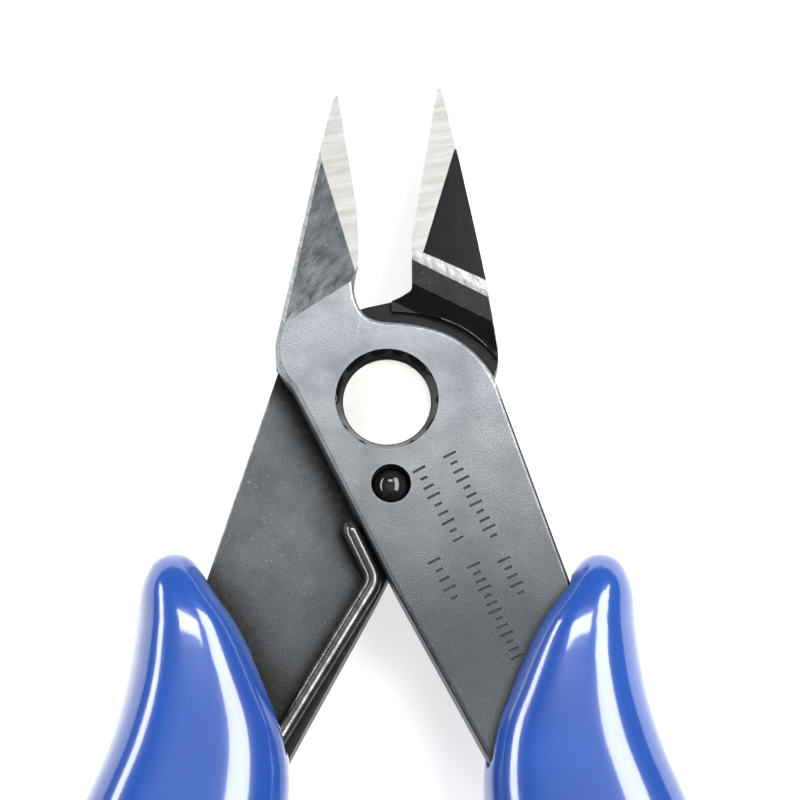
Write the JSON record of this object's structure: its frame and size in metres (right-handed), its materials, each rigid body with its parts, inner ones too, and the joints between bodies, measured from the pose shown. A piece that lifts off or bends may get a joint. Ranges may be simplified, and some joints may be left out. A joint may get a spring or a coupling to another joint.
{
  "type": "flush cutter",
  "caption": "Sprung stamped-plate micro cutter with sloping flush-ground jaws, a rivet pivot, a bent wire return spring and blue moulded grips.",
  "frame": {"origin": "on the pivot axis, at the flat rear face of the rivet, level with the back of the rear plate", "axes": "+Y towards the jaw tips, +Z towards the side the ground flush faces look at, +X to the right seen from that side; drawn with the handles sprung open"},
  "size_m": [0.0806, 0.1289, 0.0121],
  "materials": {
    "front_steel": "grey phosphate, worn",
    "rear_steel": "dark phosphate, worn",
    "rivet_steel": "ground bright",
    "pin_steel": "black, polished",
    "spring_wire": "drawn wire, dark",
    "blue_vinyl": "gloss moulded vinyl"
  },
  "bodies": {
    "rear_half": {"rear_blade": "rear_steel", "pivot_rivet": "rivet_steel", "return_spring": "spring_wire", "left_grip": "blue_vinyl"},
    "front_half": {"front_blade": "front_steel", "stop_pin": "pin_steel", "right_grip": "blue_vinyl"}
  },
  "joints": [
    {"name": "pivot", "type": "hinge", "parent": "rear_half", "child": "front_half", "pos_m": [0, 0, 0], "axis": [0, 0, -1], "range_deg": [0, 16.5], "stiffness_Nm_per_rad": 0.9, "springref_deg": -5.16, "deforming": ["return_spring"]}
  ]
}
